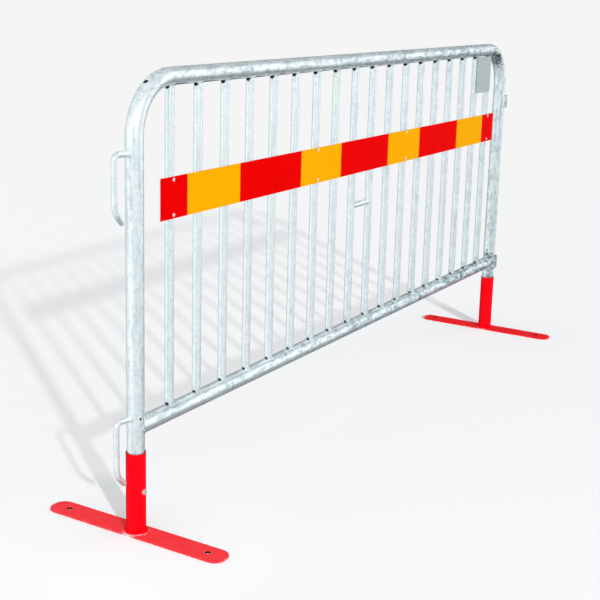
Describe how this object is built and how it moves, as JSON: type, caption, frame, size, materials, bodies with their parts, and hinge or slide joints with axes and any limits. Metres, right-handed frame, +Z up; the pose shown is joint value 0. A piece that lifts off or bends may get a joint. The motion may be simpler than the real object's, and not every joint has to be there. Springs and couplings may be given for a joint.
{
  "type": "pedestrian barrier",
  "caption": "Galvanised tube barrier with upright bars, side hooks and eyes, a red and yellow reflective strip, and red flat feet that turn under the posts.",
  "frame": {"origin": "On the ground, in the middle of the overall length and depth.", "axes": "+X along the barrier from the hooks to the eyes, +Y from the strip's side to the back, +Z up."},
  "size_m": [2.325, 0.52, 1.1],
  "materials": {
    "galvanised_steel": "hot-dip zinc with soft spangle",
    "sheet_aluminium": "mill",
    "red_film": "retroreflective film",
    "yellow_film": "retroreflective film",
    "rivet_aluminium": "plain",
    "red_paint": "glossy powder coat with chipped edges",
    "zinc_plated_steel": "bright zinc plate"
  },
  "bodies": {
    "frame": {"frame_tube": "galvanised_steel", "bottom_rail": "galvanised_steel", "bar_01": "galvanised_steel", "bar_02": "galvanised_steel", "bar_03": "galvanised_steel", "bar_04": "galvanised_steel", "bar_05": "galvanised_steel", "bar_06": "galvanised_steel", "bar_07": "galvanised_steel", "bar_08": "galvanised_steel", "bar_09": "galvanised_steel", "bar_10": "galvanised_steel", "bar_11": "galvanised_steel", "bar_12": "galvanised_steel", "bar_13": "galvanised_steel", "bar_14": "galvanised_steel", "bar_15": "galvanised_steel", "bar_16": "galvanised_steel", "bar_17": "galvanised_steel", "bar_18": "galvanised_steel", "centre_spacer": "galvanised_steel", "label_plate": "galvanised_steel", "strip_backing": "sheet_aluminium", "red_sheeting": "red_film", "yellow_sheeting": "yellow_film", "strip_rivets": "rivet_aluminium", "upper_hook": "galvanised_steel", "lower_hook": "galvanised_steel", "upper_eye": "galvanised_steel", "lower_eye": "galvanised_steel"},
    "left_foot": {"left_foot_plate": "red_paint", "left_foot_sleeve": "red_paint", "left_foot_weld": "red_paint", "left_lock_nut": "zinc_plated_steel"},
    "locking_screw": {"left_locking_screw": "zinc_plated_steel"},
    "right_foot": {"right_foot_plate": "red_paint", "right_foot_sleeve": "red_paint", "right_foot_weld": "red_paint"}
  },
  "joints": [
    {"name": "left_foot_turn", "type": "hinge", "parent": "frame", "child": "left_foot", "pos_m": [-1.0845, 0, 0], "axis": [0, 0, 1], "continuous": true},
    {"name": "right_foot_turn", "type": "hinge", "parent": "frame", "child": "right_foot", "pos_m": [1.1055, 0, 0], "axis": [0, 0, 1], "continuous": true},
    {"name": "left_screw_travel", "type": "slide", "parent": "left_foot", "child": "locking_screw", "axis": [0, -1, 0], "range_m": [0, 0.005]}
  ]
}
